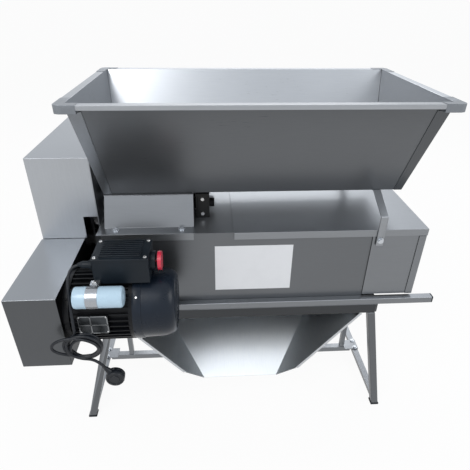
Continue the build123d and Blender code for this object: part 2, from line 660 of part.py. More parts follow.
with BuildPart() as cord_tube:
    with BuildLine() as route:
        FilletPolyline(*CORD_ROUTE, radius=fillet_radii(CORD_ROUTE))
    with BuildSketch(Plane(CORD_ROUTE[0], z_dir=Vector(*CORD_ROUTE[1]) - Vector(*CORD_ROUTE[0]))):
        Circle(CORD_D / 2)
    sweep()

with BuildPart() as cord_coil:
    with Locations(Location((-394, -341, 470), (90, 0, 0))):
        Cylinder(49, 24, align=(Align.CENTER, Align.CENTER, Align.MIN))
        Cylinder(25, 30, align=(Align.CENTER, Align.CENTER, Align.MIN), mode=Mode.SUBTRACT)
    prism(front_plane(-350), [(-375, 441.8), (-381, 438.2), (-348, 383.2), (-342, 386.8)], 7)

with BuildPart() as plug:
    with Locations((-335, -354, 369)):
        Cylinder(22.5, 22, rotation=(90, 0, 0))

# ---------------------------------------------------------------- write the parts
stand_frame.part.label = "stand_frame"
legs.part.label = "legs"
stand_side_bars.part.label = "stand_side_bars"
stand_cross_bar.part.label = "stand_cross_bar"
carrying_rails.part.label = "carrying_rails"
end_plugs.part.label = "end_plugs"
chute.part.label = "chute"
body_front_panel.part.label = "body_front_panel"
body_rear_panel.part.label = "body_rear_panel"
drive_plate.part.label = "drive_plate"
flange_bearings.part.label = "flange_bearings"
cage_rings.part.label = "cage_rings"
stalk_hood.part.label = "stalk_hood"
body_cover.part.label = "body_cover"
base_plate.part.label = "base_plate"
perforated_cage.part.label = "perforated_cage"
bearing_bridge.part.label = "bearing_bridge"
beater_shaft.part.label = "beater_shaft"
beater_paddles.part.label = "beater_paddles"
beater_pulley.part.label = "beater_pulley"
crusher_front_plate.part.label = "crusher_front_plate"
crusher_rear_plate.part.label = "crusher_rear_plate"
crusher_side_plates.part.label = "crusher_side_plates"
front_roller.part.label = "front_roller"
rear_roller.part.label = "rear_roller"
roller_bearing_blocks.part.label = "roller_bearing_blocks"
front_roller_gear.part.label = "front_roller_gear"
rear_roller_gear.part.label = "rear_roller_gear"
hopper_front_panel.part.label = "hopper_front_panel"
hopper_rear_panel.part.label = "hopper_rear_panel"
hopper_left_panel.part.label = "hopper_left_panel"
hopper_right_panel.part.label = "hopper_right_panel"
hopper_trough.part.label = "hopper_trough"
rim_corner_caps.part.label = "rim_corner_caps"
hopper_straps.part.label = "hopper_straps"
auger_shaft.part.label = "auger_shaft"
auger_flight.part.label = "auger_flight"
auger_sprocket.part.label = "auger_sprocket"
motor_pulley.part.label = "motor_pulley"
drive_belt.part.label = "drive_belt"
drive_chains.part.label = "drive_chains"
upper_guard.part.label = "upper_guard"
lower_guard.part.label = "lower_guard"
motor_housing.part.label = "motor_housing"
fan_cover.part.label = "fan_cover"
motor_fan.part.label = "motor_fan"
motor_shaft.part.label = "motor_shaft"
motor_base.part.label = "motor_base"
terminal_box.part.label = "terminal_box"
terminal_lid.part.label = "terminal_lid"
switch_body.part.label = "switch_body"
switch_button.part.label = "switch_button"
capacitor.part.label = "capacitor"
capacitor_clamp.part.label = "capacitor_clamp"
cable_gland.part.label = "cable_gland"
fasteners.part.label = "fasteners"
cord_tube.part.label = "cord_tube"
cord_coil.part.label = "cord_coil"
plug.part.label = "plug"

export_step(stand_frame.part, "parts/stand_frame.step")
export_step(legs.part, "parts/legs.step")
export_step(stand_side_bars.part, "parts/stand_side_bars.step")
export_step(stand_cross_bar.part, "parts/stand_cross_bar.step")
export_step(carrying_rails.part, "parts/carrying_rails.step")
export_step(end_plugs.part, "parts/end_plugs.step")
export_step(chute.part, "parts/chute.step")
export_step(body_front_panel.part, "parts/body_front_panel.step")
export_step(body_rear_panel.part, "parts/body_rear_panel.step")
export_step(drive_plate.part, "parts/drive_plate.step")
export_step(flange_bearings.part, "parts/flange_bearings.step")
export_step(cage_rings.part, "parts/cage_rings.step")
export_step(stalk_hood.part, "parts/stalk_hood.step")
export_step(body_cover.part, "parts/body_cover.step")
export_step(base_plate.part, "parts/base_plate.step")
export_step(perforated_cage.part, "parts/perforated_cage.step")
export_step(bearing_bridge.part, "parts/bearing_bridge.step")
export_step(beater_shaft.part, "parts/beater_shaft.step")
export_step(beater_paddles.part, "parts/beater_paddles.step")
export_step(beater_pulley.part, "parts/beater_pulley.step")
export_step(crusher_front_plate.part, "parts/crusher_front_plate.step")
export_step(crusher_rear_plate.part, "parts/crusher_rear_plate.step")
export_step(crusher_side_plates.part, "parts/crusher_side_plates.step")
export_step(front_roller.part, "parts/front_roller.step")
export_step(rear_roller.part, "parts/rear_roller.step")
export_step(roller_bearing_blocks.part, "parts/roller_bearing_blocks.step")
export_step(front_roller_gear.part, "parts/front_roller_gear.step")
export_step(rear_roller_gear.part, "parts/rear_roller_gear.step")
export_step(hopper_front_panel.part, "parts/hopper_front_panel.step")
export_step(hopper_rear_panel.part, "parts/hopper_rear_panel.step")
export_step(hopper_left_panel.part, "parts/hopper_left_panel.step")
export_step(hopper_right_panel.part, "parts/hopper_right_panel.step")
export_step(hopper_trough.part, "parts/hopper_trough.step")
export_step(rim_corner_caps.part, "parts/rim_corner_caps.step")
export_step(hopper_straps.part, "parts/hopper_straps.step")
export_step(auger_shaft.part, "parts/auger_shaft.step")
export_step(auger_flight.part, "parts/auger_flight.step")
export_step(auger_sprocket.part, "parts/auger_sprocket.step")
export_step(motor_pulley.part, "parts/motor_pulley.step")
export_step(drive_belt.part, "parts/drive_belt.step")
export_step(drive_chains.part, "parts/drive_chains.step")
export_step(upper_guard.part, "parts/upper_guard.step")
export_step(lower_guard.part, "parts/lower_guard.step")
export_step(motor_housing.part, "parts/motor_housing.step")
export_step(fan_cover.part, "parts/fan_cover.step")
export_step(motor_fan.part, "parts/motor_fan.step")
export_step(motor_shaft.part, "parts/motor_shaft.step")
export_step(motor_base.part, "parts/motor_base.step")
export_step(terminal_box.part, "parts/terminal_box.step")
export_step(terminal_lid.part, "parts/terminal_lid.step")
export_step(switch_body.part, "parts/switch_body.step")
export_step(switch_button.part, "parts/switch_button.step")
export_step(capacitor.part, "parts/capacitor.step")
export_step(capacitor_clamp.part, "parts/capacitor_clamp.step")
export_step(cable_gland.part, "parts/cable_gland.step")
export_step(fasteners.part, "parts/fasteners.step")
export_step(cord_tube.part, "parts/cord_tube.step")
export_step(cord_coil.part, "parts/cord_coil.step")
export_step(plug.part, "parts/plug.step")
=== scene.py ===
from math import cos, pi, radians, sin

import bmesh
import bpy
from bpy.props import FloatProperty, FloatVectorProperty, IntProperty, PointerProperty
from mathutils import Matrix, Vector


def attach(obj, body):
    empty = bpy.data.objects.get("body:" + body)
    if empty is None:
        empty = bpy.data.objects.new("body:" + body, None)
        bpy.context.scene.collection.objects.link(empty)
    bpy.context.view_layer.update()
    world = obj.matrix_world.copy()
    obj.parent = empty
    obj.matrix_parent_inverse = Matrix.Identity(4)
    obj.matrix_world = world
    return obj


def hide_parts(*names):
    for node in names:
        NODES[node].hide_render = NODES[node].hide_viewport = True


bl_info = {
    "name": "Grape Crusher Destemmer",
    "version": (1, 0, 0),
    "blender": (4, 5, 0),
    "location": "View3D > Sidebar > Destemmer",
    "description": "Finishes, trim, cord and stage for a grape crusher destemmer",
    "category": "Object",
}

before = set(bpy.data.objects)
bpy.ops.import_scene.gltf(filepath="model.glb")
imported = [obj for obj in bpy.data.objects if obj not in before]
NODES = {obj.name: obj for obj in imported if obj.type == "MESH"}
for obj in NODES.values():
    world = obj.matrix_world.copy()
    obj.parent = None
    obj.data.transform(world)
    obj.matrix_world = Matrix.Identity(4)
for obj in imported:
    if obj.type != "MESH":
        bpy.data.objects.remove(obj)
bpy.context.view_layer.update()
MM = 0.001
BODY = "machine"


# ---------------------------------------------------------------- sizes and colours
class DestemmerSizes(bpy.types.PropertyGroup):
    """Sizes of the trim pieces."""

    cord_diameter: FloatProperty(
        name="Cord diameter", description="Outside diameter of the mains lead", default=0.007, unit="LENGTH")
    cord_length: FloatProperty(
        name="Cord length", description="Length of the lead from gland to plug", default=1.54, unit="LENGTH")
    coil_turns: IntProperty(
        name="Coil turns", description="Loose turns hung in front of the motor", default=5)
    label_width: FloatProperty(
        name="Label width", description="Width of the blank label on the body", default=0.214, unit="LENGTH")
    label_height: FloatProperty(
        name="Label height", description="Height of the blank label on the body", default=0.146, unit="LENGTH")
    screw_diameter: FloatProperty(
        name="Screw head", description="Head diameter of the small screws", default=0.009, unit="LENGTH")


class DestemmerColours(bpy.types.PropertyGroup):
    """Colours of the finishes."""

    steel: FloatVectorProperty(
        name="Steel", description="Satin stainless sheet", default=(0.487, 0.51, 0.54), subtype="COLOR")
    motor: FloatVectorProperty(
        name="Motor enamel", description="Motor frame and end shields", default=(0.004, 0.0045, 0.006),
        subtype="COLOR")
    fan_cover: FloatVectorProperty(
        name="Fan cover enamel", description="Pressed cover over the fan", default=(0.008, 0.013, 0.022),
        subtype="COLOR")
    button: FloatVectorProperty(
        name="Button", description="Face of the push switch", default=(0.62, 0.025, 0.06), subtype="COLOR")
    capacitor: FloatVectorProperty(
        name="Capacitor can", description="Moulded can of the capacitor", default=(0.48, 0.645, 0.77),
        subtype="COLOR")
    rubber: FloatVectorProperty(
        name="Black rubber", description="Lead, plug and rollers", default=(0.005, 0.005, 0.006),
        subtype="COLOR")


# ---------------------------------------------------------------- node groups and materials
def socket(tree, name, way, kind, value=None):
    made = tree.interface.new_socket(name=name, in_out=way, socket_type=kind)
    if value is not None:
        made.default_value = value
    return made


def wire(tree, a, b):
    tree.links.new(a, b)


def maths(tree, operation, a, b, clamp=False):
    node = tree.nodes.new("ShaderNodeMath")
    node.operation = operation
    node.use_clamp = clamp
    for slot, value in zip(node.inputs, (a, b)):
        if isinstance(value, (int, float)):
            slot.default_value = value
        else:
            wire(tree, value, slot)
    return node.outputs[0]


def noise(tree, vector, scale, detail=2.0, rough=0.5):
    node = tree.nodes.new("ShaderNodeTexNoise")
    wire(tree, vector, node.inputs["Vector"])
    if isinstance(scale, (int, float)):
        node.inputs["Scale"].default_value = scale
    else:
        wire(tree, scale, node.inputs["Scale"])
    node.inputs["Detail"].default_value = detail
    node.inputs["Roughness"].default_value = rough
    return node.outputs["Fac"]


def colour_mix(tree, fac, a, b, blend="MIX"):
    node = tree.nodes.new("ShaderNodeMix")
    node.data_type = "RGBA"
    node.blend_type = blend
    for index, value in ((0, fac), (6, a), (7, b)):
        if isinstance(value, (int, float, tuple)):
            node.inputs[index].default_value = value
        else:
            wire(tree, value, node.inputs[index])
    return node.outputs[2]


def start_group(name):
    group = bpy.data.node_groups.get(name)
    if group:
        return group, None, None
    group = bpy.data.node_groups.new(name, "ShaderNodeTree")
    return group, group.nodes.new("NodeGroupInput"), group.nodes.new("NodeGroupOutput")


def brushed_grain():
    """Fine drawn lines with slow smudges, for sheet, tube and turned steel."""
    group, inlet, outlet = start_group("Brushed Grain")
    if inlet is None:
        return group
    socket(group, "Position", "INPUT", "NodeSocketVector")
    socket(group, "Drawn", "INPUT", "NodeSocketVector")
    socket(group, "Light Tone", "INPUT", "NodeSocketColor", (0.6, 0.6, 0.6, 1))
    socket(group, "Dark Tone", "INPUT", "NodeSocketColor", (0.4, 0.4, 0.4, 1))
    socket(group, "Fineness", "INPUT", "NodeSocketFloat", 90.0)
    socket(group, "Smudge Size", "INPUT", "NodeSocketFloat", 5.0)
    socket(group, "Roughness", "INPUT", "NodeSocketFloat", 0.35)
    socket(group, "Swing", "INPUT", "NodeSocketFloat", 0.12)
    socket(group, "Color", "OUTPUT", "NodeSocketColor")
    socket(group, "Roughness", "OUTPUT", "NodeSocketFloat")
    socket(group, "Height", "OUTPUT", "NodeSocketFloat")
    get = inlet.outputs
    lines = noise(group, get["Drawn"], get["Fineness"], 3.0, 0.6)
    smudge = noise(group, get["Position"], get["Smudge Size"], 4.0, 0.55)
    marks = noise(group, get["Position"], maths(group, "MULTIPLY", get["Smudge Size"], 9.0), 2.0, 0.5)
    blend = maths(group, "ADD", maths(group, "MULTIPLY", lines, 0.5), maths(group, "MULTIPLY", smudge, 0.5))
    blend = maths(group, "MULTIPLY", maths(group, "SUBTRACT", blend, 0.3), 2.4, True)
    tone = colour_mix(group, blend, get["Dark Tone"], get["Light Tone"])
    wire(group, tone, outlet.inputs["Color"])
    wave = maths(group, "SUBTRACT", maths(group, "ADD", smudge, maths(group, "MULTIPLY", marks, 0.5)), 0.75)
    rough = maths(group, "ADD", get["Roughness"], maths(group, "MULTIPLY", wave, get["Swing"]))
    rough = maths(group, "ADD", rough, maths(group, "MULTIPLY", maths(group, "SUBTRACT", lines, 0.5), 0.10))
    wire(group, rough, outlet.inputs["Roughness"])
    wire(group, lines, outlet.inputs["Height"])
    return group


def moulded_skin():
    """Pebbled surface with faint rub marks, for plastic, rubber, enamel and castings."""
    group, inlet, outlet = start_group("Moulded Skin")
    if inlet is None:
        return group
    socket(group, "Position", "INPUT", "NodeSocketVector")
    socket(group, "Colour", "INPUT", "NodeSocketColor", (0.02, 0.02, 0.02, 1))
    socket(group, "Rubbed", "INPUT", "NodeSocketColor", (0.05, 0.05, 0.05, 1))
    socket(group, "Pebble", "INPUT", "NodeSocketFloat", 700.0)
    socket(group, "Rub Size", "INPUT", "NodeSocketFloat", 14.0)
    socket(group, "Roughness", "INPUT", "NodeSocketFloat", 0.5)
    socket(group, "Color", "OUTPUT", "NodeSocketColor")
    socket(group, "Roughness", "OUTPUT", "NodeSocketFloat")
    socket(group, "Height", "OUTPUT", "NodeSocketFloat")
    get = inlet.outputs
    pebble = noise(group, get["Position"], get["Pebble"], 2.0, 0.5)
    rub = noise(group, get["Position"], get["Rub Size"], 5.0, 0.6)
    mask = maths(group, "MULTIPLY", maths(group, "SUBTRACT", rub, 0.52), 3.0, True)
    wire(group, colour_mix(group, mask, get["Colour"], get["Rubbed"]), outlet.inputs["Color"])
    swing = maths(group, "MULTIPLY", maths(group, "SUBTRACT", rub, 0.5), 0.35)
    wire(group, maths(group, "ADD", get["Roughness"], swing), outlet.inputs["Roughness"])
    wire(group, maths(group, "ADD", pebble, maths(group, "MULTIPLY", rub, 0.5)), outlet.inputs["Height"])
    return group


def new_material(name):
    made = bpy.data.materials.new(name)
    made.use_nodes = True
    return made, made.node_tree, made.node_tree.nodes["Principled BSDF"]


def finish_bump(tree, shader, height, strength, distance):
    bump = tree.nodes.new("ShaderNodeBump")
    bump.inputs["Strength"].default_value = strength
    bump.inputs["Distance"].default_value = distance
    wire(tree, height, bump.inputs["Height"])
    wire(tree, bump.outputs["Normal"], shader.inputs["Normal"])


def painted_light_mask(tree, channel, start, end):
    """Mask that rises as a face turns towards an axis of the machine, used to paint light and shade by face
    direction.
    """
    shape = tree.nodes.new("ShaderNodeNewGeometry")
    split = tree.nodes.new("ShaderNodeSeparateXYZ")
    wire(tree, shape.outputs["Normal"], split.inputs[0])
    value = split.outputs[channel]
    if channel == "X":
        value = maths(tree, "ABSOLUTE", value, 0.0)
    ramp = tree.nodes.new("ShaderNodeMapRange")
    ramp.inputs["From Min"].default_value = start
    ramp.inputs["From Max"].default_value = end
    wire(tree, value, ramp.inputs["Value"])
    return ramp.outputs["Result"]


def steel(name, tone, grain=(1.5, 60, 60), rough=0.34, top=None, side=None, contrast=0.07, fineness=14.0,
          metal=0.88, smudge=3.0, painted_top_lean=0.12):
    """Satin stainless drawn along one axis; top and side are the tones of faces pointing up or sideways, painted
    light and shade.
    """
    if name in bpy.data.materials:
        return bpy.data.materials[name]
    made, tree, shader = new_material(name)
    place = tree.nodes.new("ShaderNodeTexCoord")
    drawn = tree.nodes.new("ShaderNodeMapping")
    drawn.inputs["Scale"].default_value = grain
    wire(tree, place.outputs["Object"], drawn.inputs["Vector"])
    group = tree.nodes.new("ShaderNodeGroup")
    group.node_tree = brushed_grain()
    wire(tree, place.outputs["Object"], group.inputs["Position"])
    wire(tree, drawn.outputs["Vector"], group.inputs["Drawn"])
    for slot, gain in (("Light Tone", 1 + contrast), ("Dark Tone", 1 - contrast)):
        colour = tuple(min(1.0, c * gain) for c in tone) + (1.0,)
        group.inputs[slot].default_value = colour
        # painted light and shade: faces pointing sideways or up swap the plain tone for their own tone
        if side:
            turned = tuple(min(1.0, c * gain) for c in side) + (1.0,)
            colour = colour_mix(tree, painted_light_mask(tree, "X", 0.12, 0.5), colour, turned)
        if top:
            raised = tuple(min(1.0, c * gain) for c in top) + (1.0,)
            colour = colour_mix(tree, painted_light_mask(tree, "Z", painted_top_lean, painted_top_lean + 0.2), colour, raised)
        if side or top:
            wire(tree, colour, group.inputs[slot])
    group.inputs["Fineness"].default_value = fineness
    group.inputs["Smudge Size"].default_value = smudge
    group.inputs["Roughness"].default_value = rough
    group.inputs["Swing"].default_value = 0.06
    wire(tree, group.outputs["Color"], shader.inputs["Base Color"])
    wire(tree, group.outputs["Roughness"], shader.inputs["Roughness"])
    shader.inputs["Metallic"].default_value = metal
    finish_bump(tree, shader, group.outputs["Height"], 0.05, 0.0003)
    return made


def moulded(name, colour, rubbed=None, rough=0.5, pebble=700.0, bump=0.25, metal=0.0, coat=0.0, rub_size=14.0,
            shine=0.5):
    """Plastic, rubber, enamel or casting."""
    if name in bpy.data.materials:
        return bpy.data.materials[name]
    made, tree, shader = new_material(name)
    place = tree.nodes.new("ShaderNodeTexCoord")
    group = tree.nodes.new("ShaderNodeGroup")
    group.node_tree = moulded_skin()
    wire(tree, place.outputs["Object"], group.inputs["Position"])
    group.inputs["Colour"].default_value = tuple(colour) + (1.0,)
    group.inputs["Rubbed"].default_value = tuple(rubbed or [c * 1.8 + 0.006 for c in colour]) + (1.0,)
    group.inputs["Pebble"].default_value = pebble
    group.inputs["Rub Size"].default_value = rub_size
    group.inputs["Roughness"].default_value = rough
    wire(tree, group.outputs["Color"], shader.inputs["Base Color"])
    wire(tree, group.outputs["Roughness"], shader.inputs["Roughness"])
    shader.inputs["Metallic"].default_value = metal
    shader.inputs["Coat Weight"].default_value = coat
    shader.inputs["Specular IOR Level"].default_value = shine
    finish_bump(tree, shader, group.outputs["Height"], bump, 0.0003)
    return made


# ---------------------------------------------------------------- piece helpers
def finish_piece(name, bm, material, bevel=0.0, smooth=True, segments=2, replaces=()):
    """Turns a bmesh in metres into a piece of the machine."""
    bmesh.ops.remove_doubles(bm, verts=bm.verts, dist=1e-6)
    bmesh.ops.recalc_face_normals(bm, faces=bm.faces)
    mesh = bpy.data.meshes.new(name)
    bm.to_mesh(mesh)
    bm.free()
    piece = bpy.data.objects.new(name, mesh)
    bpy.context.scene.collection.objects.link(piece)
    mesh.materials.append(material)
    if smooth:
        for face in mesh.polygons:
            face.use_smooth = True
        mesh.set_sharp_from_angle(angle=radians(35))
    if bevel:
        soften = piece.modifiers.new("Rounded edges", "BEVEL")
        soften.width = bevel
        soften.segments = segments
        soften.limit_method = "ANGLE"
        soften.angle_limit = radians(35)
    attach(piece, BODY)
    if replaces:
        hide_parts(*replaces)
    return piece


def add_box(bm, low, high, bevel=0.0, segments=2):
    """Box between two corners in millimetres, edges rounded if asked."""
    made = bmesh.ops.create_cube(bm, size=1.0)
    verts = made["verts"]
    size = [(b - a) * MM for a, b in zip(low, high)]
    mid = [(b + a) * MM / 2 for a, b in zip(low, high)]
    bmesh.ops.scale(bm, vec=size, verts=verts)
    bmesh.ops.translate(bm, vec=mid, verts=verts)
    if bevel:
        edges = list({e for v in verts for e in v.link_edges})
        bmesh.ops.bevel(bm, geom=edges, offset=bevel * MM, affect="EDGES", segments=segments, profile=0.5,
                        material=-1)


def add_lathe(bm, profile, centre, axis, steps=40):
    """Spins (radius, along) points in millimetres about an axis through the centre."""
    along = Vector(axis).normalized()
    across = along.orthogonal().normalized()
    base = Vector(centre)
    verts = [bm.verts.new((base + across * r + along * t) * MM) for r, t in profile]
    edges = [bm.edges.new(pair) for pair in zip(verts, verts[1:])]
    bmesh.ops.spin(bm, geom=verts + edges, cent=base * MM, axis=along, angle=2 * pi, steps=steps, use_merge=True)


def add_screw(bm, centre, axis, diameter, height):
    """Pan head with a round recess."""
    r = diameter / 2
    add_lathe(bm, [(0, 0), (r, 0), (r, height * 0.45), (r * 0.75, height), (r * 0.3, height),
                   (r * 0.24, height * 0.55), (0, height * 0.5)], centre, axis, 20)


def add_hex(bm, centre, axis, across_flats, height):
    """Hex head with a chamfered top."""
    r = across_flats / 3 ** 0.5
    add_lathe(bm, [(0, 0), (r, 0), (r, height * 0.8), (r * 0.86, height), (0, height)], centre, axis, 6)


# ---------------------------------------------------------------- finishes of the frame parts
ALONG_X, ALONG_Y, ALONG_Z = (1.5, 60, 60), (60, 1.5, 60), (60, 60, 1.5)
STEEL_PARTS = {
    # part: finish, tone, tone of faces pointing up, tone of faces pointing sideways, grain, roughness; all three
    # tones are painted light and shade, set part by part for one steel
    "stand_frame": ("Frame Steel", 0.06, 0.25, 0.06, ALONG_X, 0.36),
    "legs": ("Leg Steel", 0.13, 0.28, 0.10, ALONG_Z, 0.36),
    "stand_side_bars": ("Bar Steel", 0.16, 0.3, 0.14, ALONG_Y, 0.36),
    "stand_cross_bar": ("Cross Bar Steel", 0.2, 0.32, 0.16, ALONG_X, 0.36),
    "carrying_rails": ("Rail Steel", 0.21, 0.42, 0.28, ALONG_X, 0.30),
    # the chute lips pointing up carry a near-white painted highlight
    "chute": ("Chute Steel", 0.3, 0.95, 0.155, (50, 2, 2), 0.36),
    "body_front_panel": ("Body Steel", 0.15, 0.4, 0.3, ALONG_X, 0.32),
    "body_rear_panel": ("Body Steel", 0.165, 0.4, 0.3, ALONG_X, 0.32),
    "stalk_hood": ("Hood Steel", 0.21, 0.4, 0.03, ALONG_X, 0.32),
    "body_cover": ("Cover Steel", 0.25, 0.38, 0.22, ALONG_X, 0.30),
    "base_plate": ("Deck Steel", 0.3, 0.34, 0.3, ALONG_X, 0.32),
    "drive_plate": ("Guard Steel", 0.34, 0.4, 0.3, ALONG_Y, 0.34),
    "cage_rings": ("Inner Steel", 0.36, 0.4, 0.36, ALONG_Z, 0.36),
    "perforated_cage": ("Inner Steel", 0.36, 0.4, 0.36, ALONG_Z, 0.36),
    "bearing_bridge": ("Inner Steel", 0.36, 0.4, 0.36, ALONG_Z, 0.36),
    "crusher_front_plate": ("Crusher Steel", 0.25, 0.25, 0.24, ALONG_X, 0.32),
    "crusher_rear_plate": ("Crusher Steel", 0.25, 0.25, 0.24, ALONG_X, 0.32),
    "crusher_side_plates": ("Crusher Side Steel", 0.3, 0.34, 0.3, ALONG_Z, 0.34),
    "hopper_front_panel": ("Hopper Front Steel", 0.125, 0.36, 0.125, ALONG_X, 0.30),
    "hopper_rear_panel": ("Hopper Rear Steel", 0.14, 0.50, 0.14, ALONG_X, 0.30),
    "hopper_left_panel": ("Hopper Left Steel", 0.2, 0.36, 0.3, ALONG_Z, 0.30),
    "hopper_right_panel": ("Hopper Right Steel", 0.10, 0.52, 0.14, ALONG_Z, 0.30),
    "hopper_trough": ("Trough Steel", 0.4, 0.5, 0.4, ALONG_X, 0.32),
    "hopper_straps": ("Strap Steel", 0.30, 0.46, 0.22, ALONG_Z, 0.34),
    "upper_guard": ("Upper Guard Steel", 0.42, 0.36, 0.3, ALONG_Z, 0.32),
    # the lower guard's sides carry a near-black painted shade, as do the hood's
    "lower_guard": ("Lower Guard Steel", 0.105, 0.32, 0.03, ALONG_Z, 0.30),
    "motor_base": ("Base Steel", 0.3, 0.34, 0.3, ALONG_X, 0.34),
    "auger_flight": ("Auger Steel", 0.46, 0.46, 0.46, (10, 30, 30), 0.34),
    "beater_paddles": ("Paddle Steel", 0.44, 0.44, 0.44, (10, 30, 30), 0.34),
    "capacitor_clamp": ("Clamp Steel", 0.40, 0.40, 0.40, ALONG_Y, 0.25),
    "beater_shaft": ("Turned Steel", 0.5, 0.5, 0.5, (60, 2, 2), 0.24),
    "auger_shaft": ("Turned Steel", 0.5, 0.5, 0.5, (60, 2, 2), 0.24),
    "motor_shaft": ("Turned Steel", 0.5, 0.5, 0.5, (60, 2, 2), 0.24),
    "drive_chains": ("Chain Steel", 0.28, 0.28, 0.28, (30, 30, 30), 0.36),
    "fasteners": ("Bolt Steel", 0.56, 0.56, 0.56, (30, 30, 30), 0.22),
}
# how metallic a part is, where it differs from USUAL_METAL
USUAL_METAL = 0.88
METAL_SHARE = {
    "chute": 1.0, "lower_guard": 1.0, "stand_frame": 1.0, "hopper_front_panel": 0.62, "hopper_rear_panel": 0.66,
}
# the upward lean at which a face starts to take its painted top light tone, where it differs from the usual lean
USUAL_PAINTED_TOP_LEAN = 0.12
PAINTED_TOP_LEANS = {"hopper_front_panel": -0.32, "hopper_rear_panel": -0.32}
# width of the rounded folds in millimetres, and the parts that have them
SOFT_EDGES = {
    0.9: ("hopper_front_panel", "hopper_rear_panel", "hopper_left_panel", "hopper_right_panel", "upper_guard",
          "lower_guard", "body_cover", "crusher_front_plate", "crusher_rear_plate", "stand_frame"),
    1.6: ("carrying_rails", "legs", "stand_side_bars", "stand_cross_bar", "hopper_straps", "end_plugs"),
    1.2: ("rim_corner_caps", "terminal_box", "terminal_lid", "roller_bearing_blocks"),
}


class DESTEMMER_OT_finishes(bpy.types.Operator):
    """Gives every frame part its finish"""

    bl_idname = "destemmer.finishes"
    bl_label = "Finishes"

    def execute(self, context):
        colours = context.scene.destemmer_colours
        tint = [c / colours.steel[1] for c in colours.steel]
        made = {}
        for node, (name, tone, top, side, grain, rough) in STEEL_PARTS.items():
            # each part's tone and its up and side tones are painted light and shade
            tones = [tuple(value * c for c in tint) for value in (tone, top, side)]
            made[node] = steel(name, tones[0], grain, rough, tones[1], tones[2], painted_top_lean=PAINTED_TOP_LEANS.get(node, USUAL_PAINTED_TOP_LEAN),
                               metal=METAL_SHARE.get(node, USUAL_METAL))
        iron = moulded("Machined Iron", (0.16, 0.16, 0.165), rough=0.42, pebble=300, bump=0.3, metal=0.8)
        for node in ("flange_bearings", "beater_pulley", "front_roller_gear", "rear_roller_gear",
                     "auger_sprocket", "motor_pulley"):
            made[node] = iron
        rubber = moulded("Black Rubber", colours.rubber, rubbed=(0.014, 0.014, 0.015), rough=0.62, pebble=420,
                         shine=0.3)
        for node in ("front_roller", "rear_roller", "drive_belt", "cord_tube", "cord_coil", "plug"):
            made[node] = rubber
        made["roller_bearing_blocks"] = moulded("Bearing Block Black", (0.008, 0.008, 0.008), rough=0.45,
                                                shine=0.25)
        plastic = moulded("Black Plastic", (0.007, 0.011, 0.016), rubbed=(0.013, 0.019, 0.027), rough=0.40,
                          pebble=520, shine=0.22)
        for node in ("end_plugs", "terminal_box", "terminal_lid", "switch_body", "cable_gland", "motor_fan"):
            made[node] = plastic
        made["rim_corner_caps"] = moulded("Corner Cap", (0.20, 0.215, 0.235), rough=0.38, pebble=420, metal=0.6)
        made["motor_housing"] = moulded("Motor Enamel", colours.motor, rubbed=(0.010, 0.011, 0.013), rough=0.38,
                                        pebble=260, bump=0.35, shine=0.2)
        made["fan_cover"] = moulded("Fan Cover Enamel", colours.fan_cover, rubbed=(0.014, 0.021, 0.034),
                                    rough=0.30, pebble=200, bump=0.12, shine=0.24)
        made["switch_button"] = moulded("Red Plastic", colours.button, rough=0.30, pebble=260, bump=0.1,
                                        coat=0.3)
        made["capacitor"] = moulded("Capacitor Can", colours.capacitor,
                                    rubbed=[c * 0.86 for c in colours.capacitor], rough=0.30, pebble=240,
                                    bump=0.08, coat=0.2)
        for node, piece in NODES.items():
            if node not in made:
                raise RuntimeError(f"{node} has no finish")
            piece.data.materials.clear()
            piece.data.materials.append(made[node])
        for width, nodes in SOFT_EDGES.items():
            for node in nodes:
                weld = NODES[node].modifiers.new("Welded seams", "WELD")
                weld.merge_threshold = 0.00001
                fold = NODES[node].modifiers.new("Rounded folds", "BEVEL")
                fold.width = width * MM
                fold.segments = 2
                fold.limit_method = "ANGLE"
                fold.angle_limit = radians(40)
                fold.harden_normals = True
        return {"FINISHED"}


# ---------------------------------------------------------------- camera and stage
class DESTEMMER_OT_camera(bpy.types.Operator):
    """Places the camera a little above the rim, looking down at the front"""

    bl_idname = "destemmer.camera"
    bl_label = "Camera"

    def execute(self, context):
        pitch, yaw, roll = radians(30.19), radians(3.77), radians(0.69)
        ahead = Vector((sin(yaw) * cos(pitch), cos(yaw) * cos(pitch), -sin(pitch)))
        right = Vector((cos(yaw), -sin(yaw), 0))
        up = right.cross(ahead)
        right_rolled = right * cos(roll) + up * sin(roll)
        up_rolled = up * cos(roll) - right * sin(roll)
        lens = bpy.data.cameras.new("Camera")
        lens.sensor_width = 36
        lens.lens = 32.12
        lens.clip_end = 400
        camera = bpy.data.objects.new("Camera", lens)
        context.scene.collection.objects.link(camera)
        turn = Matrix((right_rolled, up_rolled, -ahead)).transposed().to_4x4()
        camera.matrix_world = Matrix.Translation((-0.0951, -1.0803, 1.1845)) @ turn
        context.scene.camera = camera
        return {"FINISHED"}


def white_ray_mix(tree, shader, output, share):
    """Lets the camera, glossy and transmission rays see a white sheet."""
    path = tree.nodes.new("ShaderNodeLightPath")
    rays = maths(tree, "MAXIMUM", path.outputs["Is Camera Ray"], path.outputs["Is Glossy Ray"])
    rays = maths(tree, "MAXIMUM", rays, path.outputs["Is Transmission Ray"])
    glow = tree.nodes.new("ShaderNodeEmission")
    glow.inputs["Strength"].default_value = 1.0
    glow.inputs["Color"].default_value = (1, 1, 1, 1)
    mix = tree.nodes.new("ShaderNodeMixShader")
    wire(tree, maths(tree, "MULTIPLY", rays, share), mix.inputs[0])
    wire(tree, shader.outputs[0], mix.inputs[1])
    wire(tree, glow.outputs[0], mix.inputs[2])
    wire(tree, mix.outputs[0], output.inputs["Surface"])


def lamp(scene, name, place, target, size, watts):
    data = bpy.data.lights.new(name, "AREA")
    data.shape = "RECTANGLE"
    data.size, data.size_y = size
    data.energy = watts
    made = bpy.data.objects.new(name, data)
    scene.collection.objects.link(made)
    made.location = place
    made.rotation_euler = (Vector(target) - Vector(place)).to_track_quat("-Z", "Y").to_euler()
    return made


